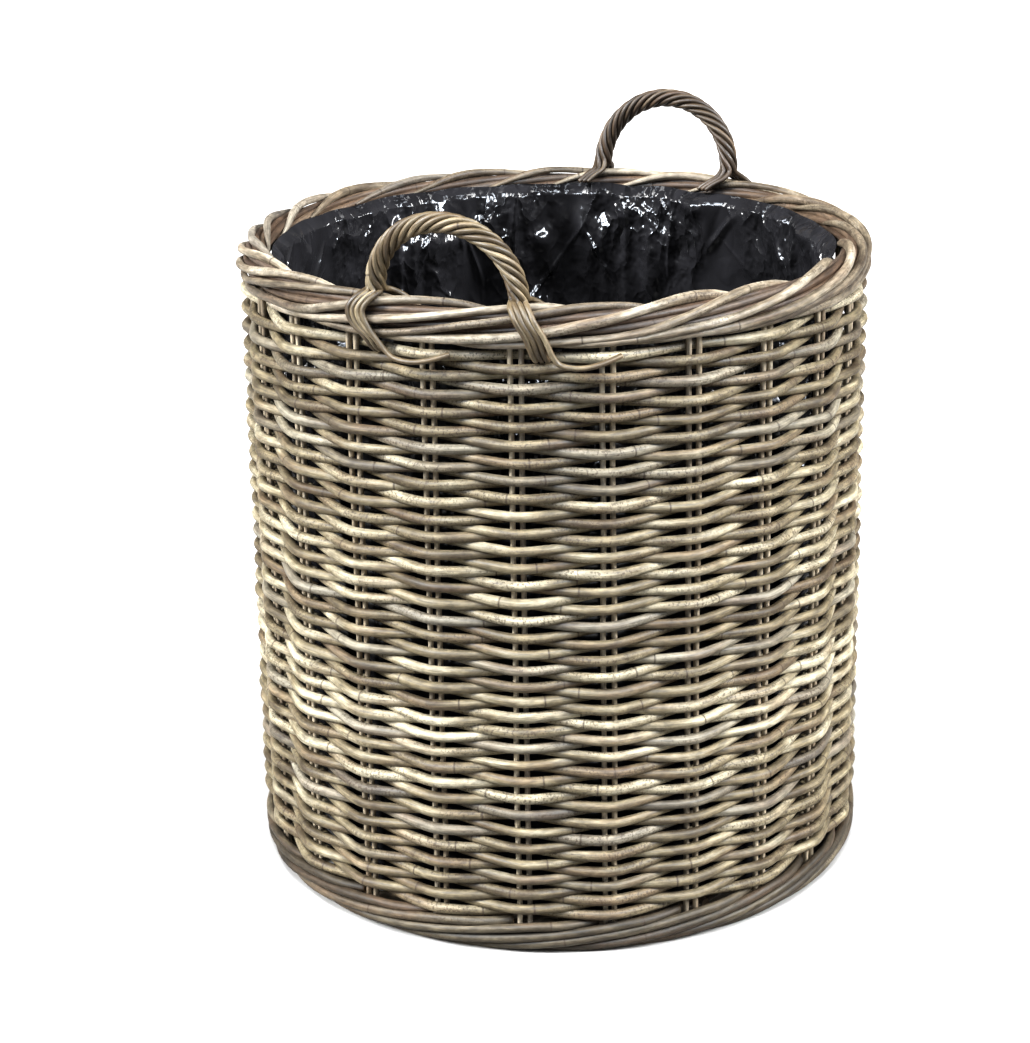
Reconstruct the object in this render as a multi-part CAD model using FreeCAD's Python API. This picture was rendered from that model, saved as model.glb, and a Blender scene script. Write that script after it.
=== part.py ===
import FreeCAD, Part
import math
import os

Vector = FreeCAD.Vector

# Round wicker log basket: paired stakes, a randed wall of single rods, a rolled rim, a rolled foot,
# a round woven base, two rope-twisted handles and a film liner.
# Millimetres. +Z is up and the origin is on the floor at the centre of the foot. Polar angles run
# anticlockwise seen from above, from +X. The handles stand near the X axis.

# ---- driving dimensions ----
OVERALL_HEIGHT = 680.0
RIM_OUTER_RADIUS = 295.0
STAKE_PAIRS = 23

# wall: stakes and the rods that weave round them
WALL_RADIUS = 280.0             # circle of the stakes' centres
STAKE_DIAMETER = 5.0
STAKE_SPACING = 9.0             # centre to centre within a pair
STAKE_TOP = 567.3
STAKE_BEND_RADIUS = 6.0         # where a stake turns in under the base
STAKE_FOOT_Z = 11.2
STAKE_INNER_END = 264.5
WEAVE_DIAMETER = 7.5
WEAVE_OFFSET = 6.8              # a weaving rod passes this far in front of or behind the stakes
WEAVE_BOTTOM = 34.2
WEAVE_TOP = 550.0
WEAVE_FRONT_RADIUS = 80.0       # bend of a rod round the outside of a stake pair
WEAVE_FIRST_STAKE = 3           # the spiral starts behind this stake pair, counted from 0
WEAVE_RODS = 64
RODS_PER_NODE = 8
WEAVE_END_GAP = 1.0             # between the butted ends of two rods, behind a stake pair

# rolled rim
BORDER_DIAMETER = 8.8
RIM_HELIX_RADIUS = 14.8         # border rods lie on this circle round the core hoop
RIM_TOP = 597.0
RIM_CORE_RADIUS = 10.0
RIM_START_ANGLE = 175.0         # in the rim's section: 0 points outwards, 90 up
RIM_TUCK_ANGLE = -42.0          # from here a rod turns in under the hoop, between two stake pairs
RIM_END_ANGLE = -88.0
RIM_SPAN = 4.15                 # stake intervals from a border rod's start to its tuck
TUCK_SPAN = 0.7                 # stake intervals from a tuck to the rod's end, at the rim and the foot
STEPS_PER_INTERVAL = 4
RIM_NODES = 3

# rolled foot
FOOT_ROD_DIAMETER = 8.2
FOOT_SIDE_RADIUS = 286.9        # rod centres on the foot's upright side
FOOT_TUCK_Z = 25.5              # from here a rod turns in between two stake pairs
FOOT_TUCK_RISE = 1.0
FOOT_TUCK_RUN = 9.7
FOOT_TUCK_START = 0.15          # stake intervals past a stake pair
FOOT_CORNER_RADIUS = 9.0
FOOT_ROD_Z = 3.7                # rod centres on the floor: the undersides are worn flat
FOOT_INNER_RADIUS = 264.0
FOOT_ROD_PITCH = 8.8            # between neighbouring rods, along the foot's section
FOOT_NODES = 2

# base
BASE_STICKS_PER_LAYER = 6
BASE_STICK_DIAMETER = 8.0
BASE_STICK_SPACING = 8.3
BASE_Z = 16.0
BASE_CENTRE_LIFT = 4.1          # the two layers part by this much each way where they cross
BASE_SQUARE_HALF = 34.0
BASE_SPREAD_RADIUS = 78.0
BASE_STICK_END = 262.0
BASE_WEAVE_DIAMETER = 6.0
BASE_WEAVE_OFFSET = 7.2
BASE_WEAVE_INNER = 90.0
BASE_WEAVE_OUTER = 256.5
BASE_WEAVE_ROUNDS = 18
BINDING_RADII = (46.0, 54.0, 62.0)
BINDING_STEPS = 24
BINDING_SLOPE = 2.2             # how steeply a binding round dives between the two layers

# handles: polar angle, radius of the arch's centre line and height of its top
HANDLES = {"a": (183.0, 64.0, 670.6), "b": (-3.0, 69.0, OVERALL_HEIGHT)}
HANDLE_LEAN = 9.0               # degrees, top outwards
CORE_DIAMETER = 8.4
CORE_BUTT_CLEARANCE = 0.8       # the core's ends stand on the rim's crest
STRAND_DIAMETER = 4.8
STRAND_COUNT = 7
STRAND_GAP = 0.2                # between the core and a strand
ROPE_TURNS = 2.64
ROPE_STEPS = 40
OUTER_STRANDS = 4               # strands that wrap the rim outside at each leg; the rest wrap inside
WRAP_RADIUS = 22.0              # strand centres round the rim's section
WRAP_SPACING = 5.1
OUTER_DRIFT = {-1: 12.0, 1: 22.0}   # how far the outer strands slant along the rim, per leg
INNER_DRIFT = 14.0
# stations of a wrap, as section angle round the rim and share of the drift
OUTER_WRAP = ((55.0, 0.0), (15.0, 0.3), (-16.0, 0.65))
INNER_WRAP = ((122.0, 0.2), (134.0, 0.6), (146.0, 1.0))
# stations of the outer strands below the rim: clearance, drop under the rim's centre, share of the drift
OUTER_TAIL = ((2.65, 17.0, 0.8), (1.4, 26.0, 0.92), (0.8, 35.0, 1.0))

# liner
LINER_OUTER_RADIUS = 268.5
LINER_NECK_RADIUS = 255.8       # where it passes inside the rolled rim
LINER_THICKNESS = 0.8
LINER_BOTTOM = 27.6
LINER_SHOULDER = 534.0          # from here it narrows to the neck
LINER_NECK = 556.0
LINER_TOP = 586.0
LINER_CORNER = 14.0

INTERVAL = 360.0 / STAKE_PAIRS
FIRST_STAKE = 180.0 - 6 * INTERVAL      # the seventh stake pair stands on -X
RIM_CENTRE_RADIUS = RIM_OUTER_RADIUS - RIM_HELIX_RADIUS - BORDER_DIAMETER / 2
RIM_CENTRE_Z = RIM_TOP - RIM_HELIX_RADIUS - BORDER_DIAMETER / 2
Z_AXIS = Vector(0, 0, 1)
ORIGIN = Vector(0, 0, 0)


def polar(radius, angle, z):
    """Point at a radius and a polar angle in degrees."""
    turn = math.radians(angle)
    return Vector(radius * math.cos(turn), radius * math.sin(turn), z)


def unit(vector):
    """Copy of a vector with length 1."""
    return Vector(vector).normalize()


def filleted_wire(points, share=0.45):
    """Straight runs through the points, joined by tangent arcs as large as the runs allow."""
    edges = []
    last = points[0]
    for before, corner, after in zip(points, points[1:], points[2:]):
        run_in = corner - before
        run_out = after - corner
        turn = run_in.getAngle(run_out)
        reach = share * min(run_in.Length, run_out.Length)
        start = corner - unit(run_in) * reach
        end = corner + unit(run_out) * reach
        radius = reach / math.tan(turn / 2)
        inward = unit(unit(run_out) - unit(run_in))
        middle = corner + inward * (radius / math.cos(turn / 2) - radius)
        edges.append(Part.LineSegment(last, start).toShape())
        edges.append(Part.Arc(start, middle, end).toShape())
        last = end
    edges.append(Part.LineSegment(last, points[-1]).toShape())
    return Part.Wire(edges)


def round_rod(wire, diameter):
    """Solid rod of round section along a smooth wire."""
    first = wire.OrderedEdges[0]
    start = first.valueAt(first.FirstParameter)
    along = first.tangentAt(first.FirstParameter)
    section = Part.Wire(Part.Circle(start, along, diameter / 2).toShape())
    solid = wire.makePipeShell([section], True, False)
    expected = math.pi * diameter ** 2 / 4 * wire.Length
    if not solid.isValid() or abs(solid.Volume / expected - 1) > 0.01:
        raise ValueError("a rod's volume is not its section times its length")
    return solid


def turned(shape, angle, rise=0.0):
    """Copy of a shape turned about the basket's axis, and raised."""
    copy = shape.copy()
    copy.rotate(ORIGIN, Z_AXIS, angle)
    copy.translate(Vector(0, 0, rise))
    return copy


def export(node, solids):
    """One STEP file for one node."""
    shape = solids[0] if len(solids) == 1 else Part.makeCompound(solids)
    shape.exportStep(f"parts/{node}.step")


def export_in_parts(name, solids, nodes):
    """Neighbouring solids shared out among numbered nodes."""
    size = math.ceil(len(solids) / nodes)
    for start in range(0, len(solids), size):
        export(f"{name}_{start // size + 1}", solids[start:start + size])


def stake_angle(index):
    """Polar angle of a stake pair, counted from 0."""
    return FIRST_STAKE + index * INTERVAL


def shares(span):
    """Even steps from 0 to 1 along a stretch of so many stake intervals."""
    steps = round(span * STEPS_PER_INTERVAL)
    return [step / steps for step in range(steps + 1)]


# ---- wall ----
def stake_rod(side):
    """One rod of the stake pair on +X, turned in at its foot; side is -1 or 1."""
    y = side * STAKE_SPACING / 2
    corner = WALL_RADIUS - STAKE_BEND_RADIUS
    bend_z = STAKE_FOOT_Z + STAKE_BEND_RADIUS
    diagonal = STAKE_BEND_RADIUS * math.sqrt(0.5)
    top = Part.LineSegment(Vector(WALL_RADIUS, y, STAKE_TOP), Vector(WALL_RADIUS, y, bend_z))
    bend = Part.Arc(
        Vector(WALL_RADIUS, y, bend_z),
        Vector(corner + diagonal, y, bend_z - diagonal),
        Vector(corner, y, STAKE_FOOT_Z),
    )
    tail = Part.LineSegment(Vector(corner, y, STAKE_FOOT_Z), Vector(STAKE_INNER_END, y, STAKE_FOOT_Z))
    return round_rod(Part.Wire([top.toShape(), bend.toShape(), tail.toShape()]), STAKE_DIAMETER)


def make_stakes():
    """The stake pairs, one node each."""
    pair = [stake_rod(-1), stake_rod(1)]
    for index in range(STAKE_PAIRS):
        export(f"stake_pair_{index + 1:02d}", [turned(rod, stake_angle(index)) for rod in pair])


def weave_pitch():
    """Rise of the weave in one full turn."""
    turns = WEAVE_RODS * (STAKE_PAIRS + 1) / STAKE_PAIRS
    return (WEAVE_TOP - WEAVE_BOTTOM) / turns


def weave_rod():
    """One weaving rod, from behind a stake pair at angle 0 to just over a full turn further.

    Seen from above it is a chain of tangent arcs: convex round the outside of one stake pair,
    concave round the inside of the next. It rises steadily, by one pitch in a turn."""
    step = math.radians(INTERVAL)
    outer = WALL_RADIUS + WEAVE_OFFSET
    inner = WALL_RADIUS - WEAVE_OFFSET
    front = WEAVE_FRONT_RADIUS
    front_centre = outer - front
    top = 2 * front_centre * inner * math.cos(step) - front_centre ** 2 - inner ** 2 + front ** 2
    bottom = 2 * inner - 2 * front_centre * math.cos(step) - 2 * front
    back = top / bottom
    back_centre = inner + back
    along = back_centre * math.cos(step) - front_centre
    front_half = math.degrees(math.atan2(back_centre * math.sin(step), along))
    across = back_centre - front_centre * math.cos(step)
    back_half = math.degrees(math.atan2(front_centre * math.sin(step), across))
    pitch = weave_pitch()

    def on_arc(centre_angle, centre_radius, radius, direction):
        flat = polar(centre_radius, centre_angle, 0) + polar(radius, direction, 0)
        swing = math.degrees(math.atan2(flat.y, flat.x)) - centre_angle
        swing = (swing + 180) % 360 - 180
        flat.z = WEAVE_BOTTOM + pitch * (centre_angle + swing) / 360
        return flat

    def arc(centre_angle, centre_radius, radius, first, last):
        directions = (first, (first + last) / 2, last)
        points = [on_arc(centre_angle, centre_radius, radius, d) for d in directions]
        return Part.Arc(*points).toShape()

    trim = math.degrees(WEAVE_END_GAP / 2 / back)
    edges = []
    for index in range(STAKE_PAIRS + 2):
        angle = index * INTERVAL
        if index % 2:
            edges.append(arc(angle, front_centre, front, angle - front_half, angle + front_half))
            continue
        facing = angle + 180
        first = facing - trim if index == 0 else facing + back_half
        last = facing + trim if index == STAKE_PAIRS + 1 else facing - back_half
        edges.append(arc(angle, back_centre, back, first, last))
    return round_rod(Part.Wire(edges), WEAVE_DIAMETER)


def make_side_weave():
    """The wall's rods, each starting where the last one ended, in nodes of a few turns each."""
    rod = weave_rod()
    rise = weave_pitch() * (STAKE_PAIRS + 1) / STAKE_PAIRS
    angles = [stake_angle(WEAVE_FIRST_STAKE + index) for index in range(WEAVE_RODS)]
    rods = [turned(rod, angle, index * rise) for index, angle in enumerate(angles)]
    export_in_parts("side_weave", rods, WEAVE_RODS // RODS_PER_NODE)


# ---- rim ----
def rim_point(section_radius, section_angle, angle):
    """Point round the rim: a radius and angle in its section, at a polar angle."""
    tilt = math.radians(section_angle)
    radius = RIM_CENTRE_RADIUS + section_radius * math.cos(tilt)
    return polar(radius, angle, RIM_CENTRE_Z + section_radius * math.sin(tilt))


def make_rim():
    """Core hoop and the border rods, which roll clockwise from the inside over to the outside."""
    hoop = Part.makeTorus(RIM_CENTRE_RADIUS, RIM_CORE_RADIUS)
    hoop.translate(Vector(0, 0, RIM_CENTRE_Z))
    export("rim_core_hoop", [hoop])
    points = []
    for share in shares(RIM_SPAN):
        section_angle = RIM_START_ANGLE + share * (RIM_TUCK_ANGLE - RIM_START_ANGLE)
        points.append(rim_point(RIM_HELIX_RADIUS, section_angle, -share * RIM_SPAN * INTERVAL))
    for share in shares(TUCK_SPAN)[1:]:
        section_angle = RIM_TUCK_ANGLE + share * (RIM_END_ANGLE - RIM_TUCK_ANGLE)
        angle = -(RIM_SPAN + share * TUCK_SPAN) * INTERVAL
        points.append(rim_point(RIM_HELIX_RADIUS, section_angle, angle))
    rod = round_rod(filleted_wire(points), BORDER_DIAMETER)
    rods = [turned(rod, stake_angle(index)) for index in range(STAKE_PAIRS)]
    export_in_parts("rim_border_rods", rods, RIM_NODES)


# ---- foot ----
def foot_section(distance):
    """Radius and height of a foot rod's centre, a distance along the section from its inner end."""
    floor_run = FOOT_SIDE_RADIUS - FOOT_CORNER_RADIUS - FOOT_INNER_RADIUS
    corner_run = FOOT_CORNER_RADIUS * math.pi / 2
    if distance <= floor_run:
        return FOOT_INNER_RADIUS + distance, FOOT_ROD_Z
    if distance <= floor_run + corner_run:
        turn = (distance - floor_run) / FOOT_CORNER_RADIUS
        centre = FOOT_INNER_RADIUS + floor_run
        lift = FOOT_CORNER_RADIUS * (1 - math.cos(turn))
        return centre + FOOT_CORNER_RADIUS * math.sin(turn), FOOT_ROD_Z + lift
    up = distance - floor_run - corner_run
    return FOOT_SIDE_RADIUS, FOOT_ROD_Z + FOOT_CORNER_RADIUS + up


def make_foot():
    """The foot's rods: each runs out along the floor, round the corner, up the outside and in again."""
    side_run = FOOT_TUCK_Z - FOOT_ROD_Z - FOOT_CORNER_RADIUS
    floor_run = FOOT_SIDE_RADIUS - FOOT_CORNER_RADIUS - FOOT_INNER_RADIUS
    length = floor_run + FOOT_CORNER_RADIUS * math.pi / 2 + side_run
    span = length / FOOT_ROD_PITCH
    points = []
    for share in shares(span):
        radius, z = foot_section(length * share)
        points.append(polar(radius, (share - 1) * span * INTERVAL, z))
    for share in shares(TUCK_SPAN)[1:]:
        radius = FOOT_SIDE_RADIUS - FOOT_TUCK_RUN * share ** 2
        points.append(polar(radius, share * TUCK_SPAN * INTERVAL, FOOT_TUCK_Z + FOOT_TUCK_RISE * share))
    rod = round_rod(filleted_wire(points), FOOT_ROD_DIAMETER)
    size = 2 * RIM_OUTER_RADIUS
    corner = Vector(-size / 2, -size / 2, -FOOT_ROD_DIAMETER)
    worn = rod.cut(Part.makeBox(size, size, FOOT_ROD_DIAMETER, corner)).Solids[0]
    rods = [turned(worn, stake_angle(index + FOOT_TUCK_START)) for index in range(STAKE_PAIRS)]
    export_in_parts("foot_border_rods", rods, FOOT_NODES)


# ---- base ----
def arm_angle(arm):
    """Polar angle of one of the base's arms; half an arm step off the axes."""
    arms = 4 * BASE_STICKS_PER_LAYER
    return (arm + 0.5) * 360 / arms


def base_stick(place, lift):
    """One stick of the layer that crosses along X; place counts them from -Y to +Y."""
    offset = (place - (BASE_STICKS_PER_LAYER - 1) / 2) * BASE_STICK_SPACING
    angle = arm_angle(place - BASE_STICKS_PER_LAYER / 2)
    half = [
        Vector(BASE_SQUARE_HALF, offset, BASE_Z + lift),
        polar(BASE_SPREAD_RADIUS, angle, BASE_Z),
        polar(BASE_STICK_END, angle, BASE_Z),
    ]
    other = [Vector(-point.x, point.y, point.z) for point in reversed(half)]
    return round_rod(filleted_wire(other + half), BASE_STICK_DIAMETER)


def closed_round(points):
    """Rod through the points of a ring whose first and last points meet, butted with a small gap."""
    last_run = points[-1] - points[-2]
    points[-1] = points[-2] + last_run * (1 - WEAVE_END_GAP / last_run.Length)
    return round_rod(filleted_wire(points), BASE_WEAVE_DIAMETER)


def base_round(radius, parity):
    """One round of the base's weave, over one arm and under the next."""
    arms = 4 * BASE_STICKS_PER_LAYER
    points = []
    for arm in range(arms + 1):
        side = 1 if (arm + parity) % 2 else -1
        points.append(polar(radius, arm_angle(arm), BASE_Z + side * BASE_WEAVE_OFFSET))
    return closed_round(points)


def binding_round(radius):
    """One round that binds the crossing: over the arms along X and under the arms along Y."""
    points = []
    for step in range(BINDING_STEPS + 1):
        angle = (step + 0.5) * 360 / BINDING_STEPS
        side = BINDING_SLOPE * math.cos(math.radians(2 * angle))
        height = BASE_WEAVE_OFFSET * max(-1.0, min(1.0, side))
        points.append(polar(radius, angle, BASE_Z + height))
    return closed_round(points)


def make_base():
    """Two crossing layers of sticks, the binding rounds and the woven rounds."""
    places = range(BASE_STICKS_PER_LAYER)
    export("base_sticks_lower", [base_stick(place, -BASE_CENTRE_LIFT) for place in places])
    upper = [turned(base_stick(place, BASE_CENTRE_LIFT), 90) for place in places]
    export("base_sticks_upper", upper)
    export("base_binding", [binding_round(radius) for radius in BINDING_RADII])
    step = (BASE_WEAVE_OUTER - BASE_WEAVE_INNER) / (BASE_WEAVE_ROUNDS - 1)
    rounds = [base_round(BASE_WEAVE_INNER + index * step, index % 2) for index in range(BASE_WEAVE_ROUNDS)]
    export("base_weave", rounds)


# ---- handles, built over the polar angle 0 and turned into place ----
def rope_radius():
    """Distance of a strand's centre from the core's centre line."""
    return CORE_DIAMETER / 2 + STRAND_GAP + STRAND_DIAMETER / 2


def arch_base_z(radius, top):
    """Height of the two feet of an arch."""
    rise = radius * math.cos(math.radians(HANDLE_LEAN))
    return top - rise - (rope_radius() + STRAND_DIAMETER / 2)


def arch_frame(radius, top, share):
    """Centre, outward normal and side normal of an arch, from its foot on -Y to its foot on +Y."""
    lean = math.radians(HANDLE_LEAN)
    up = Vector(math.sin(lean), 0, math.cos(lean))
    side = Vector(math.cos(lean), 0, -math.sin(lean))
    turn = math.pi * share
    normal = Vector(0, -math.cos(turn), 0) + up * math.sin(turn)
    foot_x = math.sqrt(RIM_CENTRE_RADIUS ** 2 - radius ** 2)
    centre = Vector(foot_x, 0, arch_base_z(radius, top)) + normal * radius
    return centre, normal, side


def rope_point(radius, top, strand, share):
    """Centre of a strand, at a share of the arch."""
    centre, normal, side = arch_frame(radius, top, share)
    turn = 2 * math.pi * (strand / STRAND_COUNT + ROPE_TURNS * share)
    return centre + (normal * math.cos(turn) - side * math.sin(turn)) * rope_radius()


def wrap_points(leg_angle, offset, outside, leg):
    """A strand's way over the rim, downwards; offset is its place beside its neighbours."""
    drift = OUTER_DRIFT[leg] if outside else INNER_DRIFT
    weave_face = WALL_RADIUS + WEAVE_OFFSET + (WEAVE_DIAMETER + STRAND_DIAMETER) / 2

    def along(share):
        return leg_angle + math.degrees((offset + drift * share) / RIM_OUTER_RADIUS)

    stations = OUTER_WRAP if outside else INNER_WRAP
    points = [rim_point(WRAP_RADIUS, section, along(share)) for section, share in stations]
    if outside:
        for clearance, drop, share in OUTER_TAIL:
            points.append(polar(weave_face + clearance, along(share), RIM_CENTRE_Z - drop))
    return points


def leg_wraps(radius, top, leg):
    """For one leg (-1 on -Y, 1 on +Y): the points of each strand's wrap, from the rope downwards."""
    share = 0.0 if leg < 0 else 1.0
    tops = [rope_point(radius, top, strand, share) for strand in range(STRAND_COUNT)]
    by_depth = sorted(range(STRAND_COUNT), key=lambda strand: -tops[strand].x)
    leg_angle = leg * math.degrees(math.asin(radius / RIM_CENTRE_RADIUS))
    wraps = {}
    for group, outside in ((by_depth[:OUTER_STRANDS], True), (by_depth[OUTER_STRANDS:], False)):
        ordered = sorted(group, key=lambda strand: tops[strand].y)
        for place, strand in enumerate(ordered):
            offset = (place - (len(ordered) - 1) / 2) * WRAP_SPACING
            wraps[strand] = wrap_points(leg_angle, offset, outside, leg)
    return wraps


def handle_core(radius, top):
    """Rod bent to an arch whose ends stand on the rim's crest."""
    centres = [arch_frame(radius, top, share)[0] for share in (0.0, 0.5, 1.0)]
    butt_z = RIM_TOP + CORE_BUTT_CLEARANCE
    leg = Vector(math.tan(math.radians(HANDLE_LEAN)), 0, 1) * (centres[0].z - butt_z)
    feet = [point - leg for point in (centres[0], centres[2])]
    edges = [
        Part.LineSegment(feet[0], centres[0]).toShape(),
        Part.Arc(*centres).toShape(),
        Part.LineSegment(centres[2], feet[1]).toShape(),
    ]
    return round_rod(Part.Wire(edges), CORE_DIAMETER)


def make_handles():
    """Each handle: a core bent to an arch and the strands laid round it, wrapped over the rim."""
    for name, (angle, radius, top) in HANDLES.items():
        export(f"handle_{name}_core", [turned(handle_core(radius, top), angle)])
        first_wraps = leg_wraps(radius, top, -1)
        last_wraps = leg_wraps(radius, top, 1)
        for strand in range(STRAND_COUNT):
            steps = range(ROPE_STEPS + 1)
            rope = [rope_point(radius, top, strand, step / ROPE_STEPS) for step in steps]
            route = first_wraps[strand][::-1] + rope + last_wraps[strand]
            solid = round_rod(filleted_wire(route), STRAND_DIAMETER)
            export(f"handle_{name}_strand_{strand + 1}", [turned(solid, angle)])


# ---- liner ----
def bag(inset):
    """Solid of revolution inside the film's outer surface, moved inwards by an inset."""
    body = LINER_OUTER_RADIUS - inset
    neck = LINER_NECK_RADIUS - inset
    bottom = LINER_BOTTOM + inset
    lower = Part.makeCylinder(body, LINER_SHOULDER - bottom, Vector(0, 0, bottom))
    shoulder = Part.makeCone(body, neck, LINER_NECK - LINER_SHOULDER, Vector(0, 0, LINER_SHOULDER))
    upper = Part.makeCylinder(neck, LINER_TOP - LINER_NECK, Vector(0, 0, LINER_NECK))
    floor_edges = [edge for edge in lower.Edges if edge.BoundBox.ZMax < bottom + 0.1]
    return lower.makeFillet(LINER_CORNER - inset, floor_edges).fuse([shoulder, upper])


def make_liner():
    """Open bag of film that stands inside the wall on the base, its neck inside the rolled rim."""
    export("liner", [bag(0.0).cut(bag(LINER_THICKNESS)).Solids[0]])


os.makedirs("parts", exist_ok=True)
make_stakes()
make_side_weave()
make_rim()
make_foot()
make_base()
make_handles()
make_liner()
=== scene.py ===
import math

import bpy
import numpy as np
from mathutils import Matrix, Vector


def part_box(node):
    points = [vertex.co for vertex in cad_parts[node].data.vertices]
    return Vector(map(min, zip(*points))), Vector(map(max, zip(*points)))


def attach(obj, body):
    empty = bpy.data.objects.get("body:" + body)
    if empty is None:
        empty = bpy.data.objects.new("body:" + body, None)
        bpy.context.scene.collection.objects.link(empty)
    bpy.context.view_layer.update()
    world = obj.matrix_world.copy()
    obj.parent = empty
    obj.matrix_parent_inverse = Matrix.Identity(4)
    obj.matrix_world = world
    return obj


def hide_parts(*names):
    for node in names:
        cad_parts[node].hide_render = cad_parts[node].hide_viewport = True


# The looks of a round wicker log basket: every rod is a mesh of its own with nodes, taper and cut ends, the liner is
# crinkled film. Metres, +Z up, origin on the floor at the centre of the foot. Polar angles run anticlockwise seen
# from above, from +X.

MM = 0.001
TAU = 2 * math.pi

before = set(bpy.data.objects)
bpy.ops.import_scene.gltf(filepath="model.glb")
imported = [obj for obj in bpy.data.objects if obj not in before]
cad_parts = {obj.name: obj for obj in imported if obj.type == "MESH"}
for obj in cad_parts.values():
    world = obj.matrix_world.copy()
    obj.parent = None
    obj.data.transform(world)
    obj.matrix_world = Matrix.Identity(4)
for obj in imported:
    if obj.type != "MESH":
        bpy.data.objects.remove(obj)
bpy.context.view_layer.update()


# ---- measures read from the frame ----
def box_size(node):
    low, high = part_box(node)
    return high - low


def nodes_named(prefix):
    return sorted(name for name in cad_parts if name.startswith(prefix))


STAKES = nodes_named("stake_pair_")
STAKE_PAIRS = len(STAKES)
INTERVAL = TAU / STAKE_PAIRS
FIRST_STAKE = math.pi - 6 * INTERVAL            # the seventh stake pair stands on -X
HOOP_TUBE = box_size("rim_core_hoop").z / 2
RIM_RADIUS = box_size("rim_core_hoop").x / 2 - HOOP_TUBE
RIM_Z = (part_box("rim_core_hoop")[0].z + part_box("rim_core_hoop")[1].z) / 2
STAKE_RADIUS = 2.5 * MM
WALL_RADIUS = -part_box(STAKES[6])[0].x - STAKE_RADIUS
STAKE_SPACING = box_size(STAKES[6]).y - 2 * STAKE_RADIUS
STAKE_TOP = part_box(STAKES[6])[1].z
WEAVES = nodes_named("side_weave_")
RODS_PER_BAND = 8
WEAVE_ROD = 7.5 * MM                            # diameter in the frame
WEAVE_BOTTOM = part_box(WEAVES[0])[0].z + WEAVE_ROD / 2
WEAVE_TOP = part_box(WEAVES[-1])[1].z - WEAVE_ROD / 2
WEAVE_FIRST_STAKE = 3                           # the spiral starts behind this pair, counted from 0
LINER_LOW, LINER_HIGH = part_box("liner")
LINER_RADIUS = (LINER_HIGH.x - LINER_LOW.x) / 2


# ---- points and curves ----
def polar(radius, angle, z):
    """Points at radii, polar angles in radians and heights: one row each."""
    radius, angle, z = np.broadcast_arrays(*np.atleast_1d(radius, angle, z))
    return np.stack([radius * np.cos(angle), radius * np.sin(angle), z], axis=1).astype(float)


def smooth_path(points, rounds=3):
    """Corner-cut copy of a polyline with the same ends."""
    points = np.asarray(points, float)
    for _ in range(rounds):
        near = points[:-1] * 0.75 + points[1:] * 0.25
        far = points[:-1] * 0.25 + points[1:] * 0.75
        middle = np.stack([near, far], axis=1).reshape(-1, 3)
        points = np.vstack([points[:1], middle[1:-1], points[-1:]])
    return points


def wander(rng, count, low, high):
    """A smooth function of one number: a sum of sines of unit height, between two spatial frequencies."""
    turns = rng.uniform(low, high, count) * TAU
    phases = rng.uniform(0, TAU, count)

    def value(x):
        return np.sin(np.outer(x, turns) + phases).mean(axis=1) * 1.6

    return value


def carried_frames(points):
    """Tangents, and normals carried along the path with no twist."""
    tangents = np.gradient(points, axis=0)
    tangents /= np.linalg.norm(tangents, axis=1)[:, None]
    guess = np.array([0, 0, 1.0]) if abs(tangents[0][2]) < 0.9 else np.array([1.0, 0, 0])
    normal = guess - tangents[0] * guess.dot(tangents[0])
    normals = np.empty_like(points)
    for index, tangent in enumerate(tangents):
        normal = normal - tangent * normal.dot(tangent)
        normal = normal / math.sqrt(normal.dot(normal))
        normals[index] = normal
    return tangents, normals, np.cross(tangents, normals)


# ---- rods ----
NODE_RIDGE = np.array([-7.0, -4.0, -2.2, -1.2, -0.6, 0.0, 0.6, 1.2, 2.2, 4.0, 7.0]) * MM


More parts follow.
